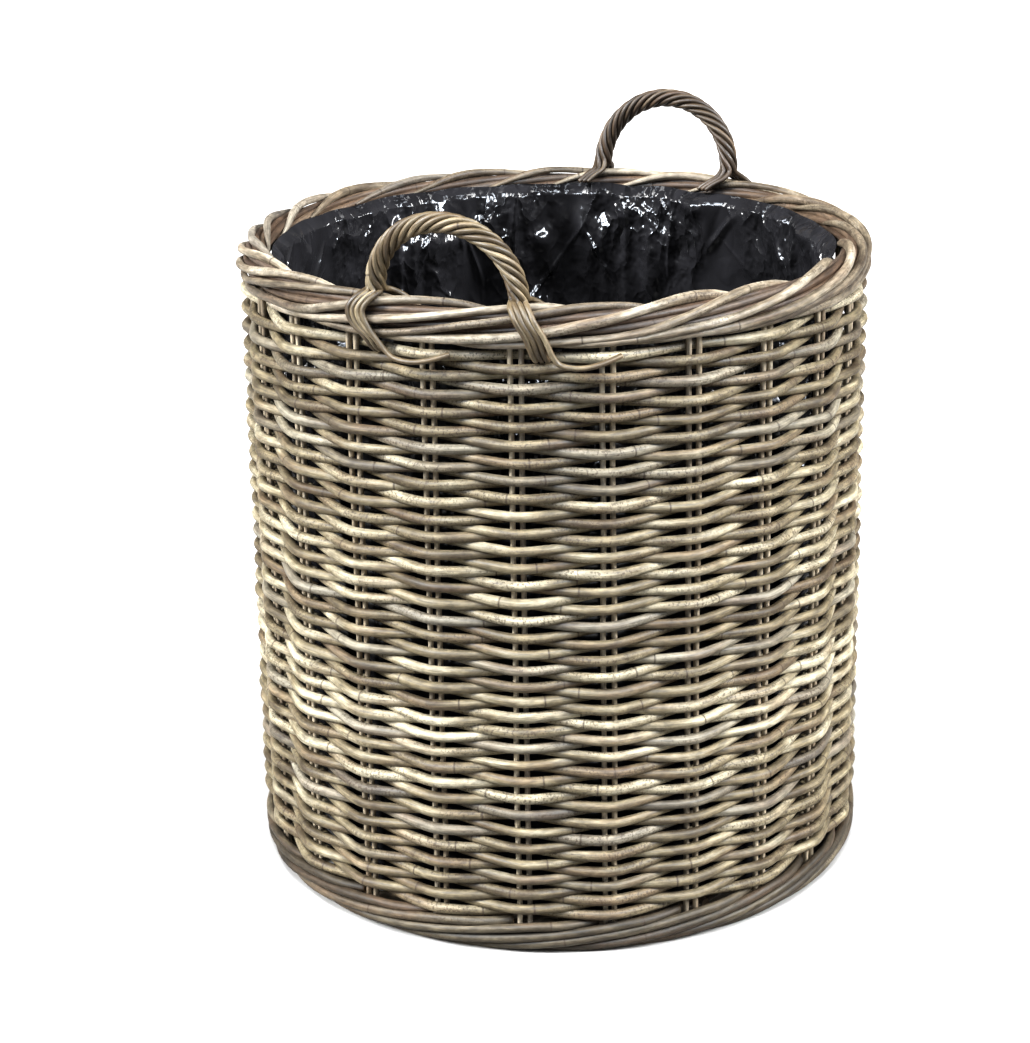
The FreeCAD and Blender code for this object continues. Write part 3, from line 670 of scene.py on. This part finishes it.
def make_base():
    """Crossing sticks, binding rounds and woven rounds."""
    stick_z = (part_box("base_weave")[0].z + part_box("base_weave")[1].z) / 2
    for node, quarter, lift in (("base_sticks_lower", 0, -STICK_LIFT), ("base_sticks_upper", 1, STICK_LIFT)):
        rods = []
        for place in range(STICKS_PER_LAYER):
            rng = np.random.default_rng(5000 + 10 * quarter + place)
            offset = (place - (STICKS_PER_LAYER - 1) / 2) * STICK_SPACING
            angle = arm_angle(place - STICKS_PER_LAYER // 2)
            half = [(CROSSING_REACH, offset, stick_z + lift)]
            half += [tuple(polar(radius, angle, stick_z)[0]) for radius in ARM_RADII]
            path = np.array([(-x, y, z) for x, y, z in reversed(half)] + half)
            if quarter:
                path = np.stack([-path[:, 1], path[:, 0], path[:, 2]], axis=1)
            rods.append(rod(smooth_path(path, 4), STICK_RADIUS, rng))
        piece_from_rods(f"{node}_rods", rods, node, base_rattan)
    rods = []
    for number, radius in enumerate(BINDING_RADII):
        rng = np.random.default_rng(5100 + number)
        turn = np.linspace(0.02, TAU - 0.02, 300)
        height = ROUND_LIFT * np.clip(2.2 * np.cos(2 * turn), -1, 1)
        rods.append(rod(polar(radius, turn, stick_z + height), BINDING_ROD, rng, step=3 * MM))
    piece_from_rods("base_binding_rods", rods, "base_binding", base_rattan)
    rods = []
    for number in range(ROUNDS):
        rng = np.random.default_rng(5200 + number)
        radius = (FIRST_ROUND + ROUNDS_REACH * number / (ROUNDS - 1)) * MM
        turn = np.linspace(0.004, TAU - 0.004, 720)
        height = (-1) ** number * ROUND_LIFT * np.sin(turn * BASE_ARMS / 2)
        rods.append(rod(polar(radius, turn, stick_z + height), ROUND_ROD, rng, step=4 * MM, sides=10))
    piece_from_rods("base_weave_rods", rods, "base_weave", base_rattan)


# ---- handles ----
HANDLES = {                                     # polar angle and radius of the arch
    "a": (math.radians(183), 64 * MM, "handle_a_rattan", handle_a_rattan),
    "b": (math.radians(-3), 69 * MM, "handle_b_rattan", handle_b_rattan),
}
HANDLE_LEAN = math.radians(9)                   # outwards
STRANDS = 7
OUTER_STRANDS = 4                               # these go over the rim's outside, the others down its inside
STRAND_RADIUS = 2.4 * MM
CORE_RADIUS = 4.2 * MM
ROPE_RADIUS = 6.8 * MM                          # from the core's centre line to a strand's
ROPE_TURNS = 2.64
WRAP_RADIUS = 22.0 * MM                         # from the hoop's centre line, over the border rods
WRAP_SPACING = 5.1 * MM
OUTER_DRIFT = {-1: 12 * MM, 1: 22 * MM}         # how far a strand strays sideways on its way down, by leg
INNER_DRIFT = 14 * MM

# OUTER_WRAP and INNER_WRAP hold (degrees round the hoop, share of the drift), OUTER_TAIL holds (radius, drop under
# the hoop's centre, share of the drift) and TUCKED_END (radius, drop, run aside), in mm and all of them downwards.
OUTER_WRAP = {
    -1: ((55, -0.1), (35, -0.45), (15, -0.7), (-16, -0.3)),
    1: ((55, 0.0), (35, 0.15), (15, 0.3), (-16, 0.65)),
}
INNER_WRAP = ((122, 0.2), (134, 0.6), (146, 1.0), (160, 1.4))
OUTER_TAIL = ((294.6, 17, 0.8), (291.0, 24, 0.9), (285.5, 29, 1.0))
TUCKED_END = ((296.0, 27, 6), (297.0, 31.5, 14), (297.4, 33, 26), (296.8, 31.5, 40), (294.8, 28, 52), (291.5, 25, 62))


def wrap_points(leg_angle, offset, outside, leg, tucked):
    """A strand's way over the rim, downwards; the tucked one turns aside below the rim and runs along the wall."""
    drift = OUTER_DRIFT[leg] if outside else INNER_DRIFT

    def along(share, more=0.0):
        return leg_angle + (offset + drift * share + more * MM) / (RIM_RADIUS + 19 * MM)

    stations = OUTER_WRAP[leg] if outside else INNER_WRAP
    points = [rim_point(WRAP_RADIUS, math.radians(section), along(share))[0] for section, share in stations]
    if tucked:
        points += [polar(radius * MM, along(0.75, more), RIM_Z - drop * MM)[0] for radius, drop, more in TUCKED_END]
    elif outside:
        points += [polar(radius * MM, along(share), RIM_Z - drop * MM)[0] for radius, drop, share in OUTER_TAIL]
    return points


def make_handle(letter):
    """One handle, made over the polar angle 0 and turned into place."""
    turn_by, radius, slot, material = HANDLES[letter]
    core_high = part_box(f"handle_{letter}_core")[1]
    base_z = core_high.z - CORE_RADIUS - radius * math.cos(HANDLE_LEAN)
    foot_x = math.sqrt(RIM_RADIUS ** 2 - radius ** 2)
    up = np.array([math.sin(HANDLE_LEAN), 0, math.cos(HANDLE_LEAN)])
    side = np.array([math.cos(HANDLE_LEAN), 0, -math.sin(HANDLE_LEAN)])
    cos, sin = math.cos(turn_by), math.sin(turn_by)
    spin = np.array([[cos, sin, 0], [-sin, cos, 0], [0, 0, 1]])

    def arch(share):
        turn = math.pi * share
        normal = np.array([0, -math.cos(turn), 0]) + up * math.sin(turn)
        return np.array([foot_x, 0, base_z]) + normal * radius, normal

    def rope_point(strand, share):
        centre, normal = arch(share)
        turn = TAU * (strand / STRANDS + ROPE_TURNS * share)
        return centre + (normal * math.cos(turn) - side * math.sin(turn)) * ROPE_RADIUS

    def wraps(leg):
        tops = [rope_point(strand, max(leg, 0)) for strand in range(STRANDS)]
        by_depth = sorted(range(STRANDS), key=lambda strand: -tops[strand][0])
        leg_angle = leg * math.asin(radius / RIM_RADIUS)
        found = {}
        for group, outside in ((by_depth[:OUTER_STRANDS], True), (by_depth[OUTER_STRANDS:], False)):
            ordered = sorted(group, key=lambda strand: tops[strand][1])
            for place, strand in enumerate(ordered):
                offset = (place - (len(ordered) - 1) / 2) * WRAP_SPACING
                tucked = outside and place == len(ordered) - 1
                found[strand] = wrap_points(leg_angle, offset, outside, leg, tucked)
        return found

    first, last = wraps(-1), wraps(1)
    for strand in range(STRANDS):
        rng = np.random.default_rng(6000 + 100 * (letter == "b") + strand)
        rope = [rope_point(strand, share) for share in np.linspace(0, 1, 61)]
        path = smooth_path(np.array(first[strand][::-1] + rope + last[strand]), 2)
        made = rod(path @ spin, STRAND_RADIUS * rng.uniform(0.97, 1.06), rng, step=2.5 * MM, sides=14,
                   node_gap=(0.3, 0.5), uneven=0.03)
        node = f"handle_{letter}_strand_{strand + 1}"
        piece_from_rods(f"{node}_rod", [made], node, material)
    centres = np.array([arch(share)[0] for share in np.linspace(0, 1, 80)])
    leg_drop = up * (centres[0][2] - core_foot_z(letter)) / up[2]
    path = np.vstack([centres[0] - leg_drop, centres, centres[-1] - leg_drop])
    core = rod(path @ spin, CORE_RADIUS, np.random.default_rng(6200), sides=16)
    piece_from_rods(f"handle_{letter}_core_rod", [core], f"handle_{letter}_core", material)


def core_foot_z(letter):
    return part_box(f"handle_{letter}_core")[0].z + 1 * MM


# ---- liner ----
LINER_AROUND = 1200                             # the side's mesh: points in each ring
LINER_LEVELS = 330                              # and rings
LINER_FLOOR_RINGS = 70
LINER_INSET = 0.6 * MM                          # film inside the frame's liner
NECK_RADIUS = 255.3 * MM                        # the bag narrows to this, from the shoulder up to the neck
SHOULDER_Z = 440 * MM
NECK_Z = 560 * MM
EDGE_DROP = 4 * MM                              # the edge sags by this
EDGE_FLARE = 6 * MM                             # and goes this far out, in among the border rods


def make_liner():
    """Film bag: long folds, slanting creases and soft dents on a drum with a neck, and a crumpled floor."""
    rng = np.random.default_rng(77)
    around, levels = LINER_AROUND, LINER_LEVELS
    top, bottom = LINER_HIGH.z, LINER_LOW.z
    angle = np.arange(around) / around * TAU
    z = top - (top - bottom - 1 * MM) * np.linspace(0, 1, levels) ** 1.25
    spread = angle[None, :] * LINER_RADIUS
    depth = (top - z)[:, None]
    inward = np.zeros((levels, around))
    circumference = TAU * LINER_RADIUS

    def away_from(line):
        return np.abs((spread - line + circumference / 2) % circumference - circumference / 2)

    def crease(at, z_low, z_high, lean, width, tall, soft=0.03):
        away = away_from(at + lean * (z[:, None] - (z_low + z_high) / 2))
        rise = np.clip((z[:, None] - z_low) / soft, 0, 1) * np.clip((z_high - z[:, None]) / soft, 0, 1)
        return tall * rise * np.clip(1 - away / (width * math.hypot(1, lean)), 0, 1) ** 1.4

    def dent(at, middle, width, tall, deep):
        return deep * np.exp(-(away_from(at) / width) ** 2 - ((z[:, None] - middle) / tall) ** 2)

    for _ in range(26):                         # long folds
        z_high = top + rng.uniform(-0.03, 0.03)
        inward += crease(rng.uniform(0, circumference), z_high - rng.uniform(0.25, 0.55), z_high,
                         rng.normal(0, 0.04), rng.uniform(8, 26) * MM, rng.uniform(2, 6) * MM)
    for _ in range(70):                         # short folds near the top
        z_high = top - rng.uniform(-0.02, 0.20)
        inward += crease(rng.uniform(0, circumference), z_high - rng.uniform(0.05, 0.18), z_high,
                         rng.normal(0, 0.3), rng.uniform(3, 8) * MM, rng.uniform(2, 5) * MM, 0.02)
    for _ in range(130):
        inward += dent(rng.uniform(0, circumference), top - rng.uniform(0.005, 0.19), rng.uniform(5, 26) * MM,
                       rng.uniform(9, 34) * MM, rng.uniform(2.5, 8) * MM)
    for _ in range(110):                        # small slanting creases
        tall = rng.uniform(0.010, 0.045)
        z_high = top - 0.19 * rng.uniform(0, 1) ** 1.4 + 0.01
        inward += crease(rng.uniform(0, circumference), z_high - tall, z_high,
                         rng.choice((-1, 1)) * rng.uniform(0.1, 1.3), rng.uniform(2.2, 6) * MM,
                         rng.uniform(1.0, 3.0) * MM, 0.01)
    swell = np.zeros_like(inward)
    for _ in range(14):
        swell += np.sin(rng.integers(2, 22) * angle[None, :] + rng.uniform(-9, 9) * z[:, None]
                        + rng.uniform(0, TAU))
    inward += 1.5 * MM * (swell / 3 + 1).clip(0, None)
    hem = wander(rng, 8, 1, 5)(angle)
    narrow = np.clip((z - SHOULDER_Z) / (NECK_Z - SHOULDER_Z), 0, 1)
    narrow = (narrow * narrow * (3 - 2 * narrow))[:, None]
    drum = LINER_RADIUS - LINER_INSET - narrow * (LINER_RADIUS - LINER_INSET - NECK_RADIUS)
    tucked = EDGE_FLARE * np.clip(1 - depth / (12 * MM), 0, 1)
    radius = drum + tucked - inward * np.clip(depth / (8 * MM), 0.2, 1)
    edge = np.clip(1 - depth / (45 * MM), 0, 1) ** 2
    height = z[:, None] - edge * (EDGE_DROP + 1.5 * MM * hem[None, :])
    rings = [polar(radius[level], angle, height[level]) for level in range(levels)]
    floor_noise = wander(rng, 8, 4, 30)
    for step in range(1, LINER_FLOOR_RINGS):
        share = 1 - step / LINER_FLOOR_RINGS
        ring_radius = radius[-1] * share
        bumps = floor_noise(ring_radius * np.cos(angle)) + floor_noise(ring_radius * np.sin(angle) + 7)
        rings.append(polar(ring_radius, angle, bottom + 1 * MM + 1.2 * MM * np.abs(bumps)))
    vertices = np.vstack(rings + [np.array([[0, 0, bottom + 1.5 * MM]])])
    count = len(rings)
    columns = np.arange(around)[None, :]
    starts = np.arange(count - 1)[:, None] * around
    here, there = starts + columns, starts + (columns + 1) % around
    quads = np.stack([here, here + around, there + around, there], axis=2).reshape(-1, 4)
    tip = len(vertices) - 1
    last = (count - 1) * around + np.arange(around)
    fan = [(int(a), tip, int(b)) for a, b in zip(last, np.roll(last, -1))]
    mesh = bpy.data.meshes.new("liner_film_bag")
    mesh.from_pydata(vertices.tolist(), [], quads.tolist() + fan)
    mesh.polygons.foreach_set("use_smooth", np.ones(len(mesh.polygons), bool))
    mesh.materials.append(liner_film)
    piece = bpy.data.objects.new("liner_film_bag", mesh)
    bpy.context.scene.collection.objects.link(piece)
    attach(piece, "root")
    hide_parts("liner")
    return piece


# ---- surroundings ----
VIEW_AZIMUTH = math.radians(-67.61)
CAMERA_DISTANCE = 2.2543                        # level, from the basket's axis
CAMERA_HEIGHT = 1.1153
CAMERA_PITCH = 0.3119                           # radians, downwards
CAMERA_ROLL = -0.0114                           # radians
FOCAL_SHARE = 2483.9 / 1043                     # focal length over the picture's long side
SHIFT = (-0.0394, -0.0783)
SENSOR = 36                                     # mm, the picture's long side
LIGHT_DISTANCE = 3.0
CARD_DISTANCE = 2.6
CARD_AIM = Vector((0, 0, 0.5))


def make_camera():
    data = bpy.data.cameras.new("camera")
    data.sensor_fit = "VERTICAL"
    data.sensor_height = SENSOR
    data.lens = SENSOR * FOCAL_SHARE
    data.shift_x, data.shift_y = SHIFT
    data.clip_end = 50
    camera = bpy.data.objects.new("camera", data)
    camera.location = (CAMERA_DISTANCE * math.sin(VIEW_AZIMUTH), -CAMERA_DISTANCE * math.cos(VIEW_AZIMUTH),
                       CAMERA_HEIGHT)
    turn = Matrix.Rotation(VIEW_AZIMUTH, 3, "Z") @ Matrix.Rotation(math.pi / 2 - CAMERA_PITCH, 3, "X")
    camera.rotation_euler = (turn @ Matrix.Rotation(CAMERA_ROLL, 3, "Z")).to_euler()
    bpy.context.scene.collection.objects.link(camera)
    bpy.context.scene.camera = camera


def towards(distance, azimuth, elevation):
    """A point at an azimuth, right of the camera's, and an elevation, in degrees."""
    turn, tilt = VIEW_AZIMUTH + math.radians(azimuth), math.radians(elevation)
    return Vector((distance * math.cos(tilt) * math.sin(turn), -distance * math.cos(tilt) * math.cos(turn),
                   distance * math.sin(tilt)))


def sun(name, azimuth, elevation, spread, power):
    """Soft light from an azimuth, right of the camera's, and an elevation."""
    data = bpy.data.lights.new(name, "SUN")
    data.energy = power
    data.angle = math.radians(spread)
    light = bpy.data.objects.new(name, data)
    light.location = towards(LIGHT_DISTANCE, azimuth, elevation)
    light.rotation_euler = (-light.location).to_track_quat("-Z", "Y").to_euler()
    bpy.context.scene.collection.objects.link(light)


def card(name, azimuth, elevation):
    """Reflecting card: a light that only glossy surfaces show."""
    data = bpy.data.lights.new(name, "AREA")
    data.shape = "RECTANGLE"
    data.size, data.size_y = 1.3, 0.7
    data.energy = 130
    data.color = (0.86, 0.92, 1.0)
    light = bpy.data.objects.new(name, data)
    light.location = CARD_AIM + towards(CARD_DISTANCE, azimuth, elevation)
    light.rotation_euler = (CARD_AIM - light.location).to_track_quat("-Z", "Y").to_euler()
    light.visible_diffuse = False
    bpy.context.scene.collection.objects.link(light)


def make_surroundings():
    mesh = bpy.data.meshes.new("floor")
    half = 14.0
    mesh.from_pydata([(-half, -half, 0), (half, -half, 0), (half, half, 0), (-half, half, 0)], [], [(0, 1, 2, 3)])
    material, nodes, links, shader = new_material("floor_paint")
    shader.inputs["Roughness"].default_value = 0.9
    shader.inputs["Specular IOR Level"].default_value = 0.2
    texture = nodes.new("ShaderNodeTexNoise")
    texture.inputs["Scale"].default_value = 3.0
    shade = ramp(nodes, [(0.3, (0.60, 0.60, 0.60)), (0.7, (0.64, 0.64, 0.64))])
    links.new(texture.outputs["Fac"], shade.inputs["Fac"])
    links.new(shade.outputs["Color"], shader.inputs["Base Color"])
    mesh.materials.append(material)
    floor = bpy.data.objects.new("floor", mesh)
    bpy.context.scene.collection.objects.link(floor)
    floor.visible_diffuse = False
    world = bpy.data.worlds.new("studio")
    world.use_nodes = True
    world.node_tree.nodes["Background"].inputs["Color"].default_value = (1, 1, 1, 1)
    world.node_tree.nodes["Background"].inputs["Strength"].default_value = 0.25
    bpy.context.scene.world = world
    view = bpy.context.scene.view_settings
    view.view_transform = "Standard"
    view.exposure = 0.35
    view.gamma = 0.80
    card("left_card", -38, 34)
    card("right_card", 38, 34)
    sun("left_key", -80, 32, 20, 4.5)
    sun("right_key", 80, 32, 20, 4.1)
    sun("top_light", 0, 66, 26, 2.2)


make_stakes()
make_side_weave()
make_rim()
make_foot()
make_base()
make_handle("a")
make_handle("b")
liner = make_liner()
make_surroundings()
make_camera()
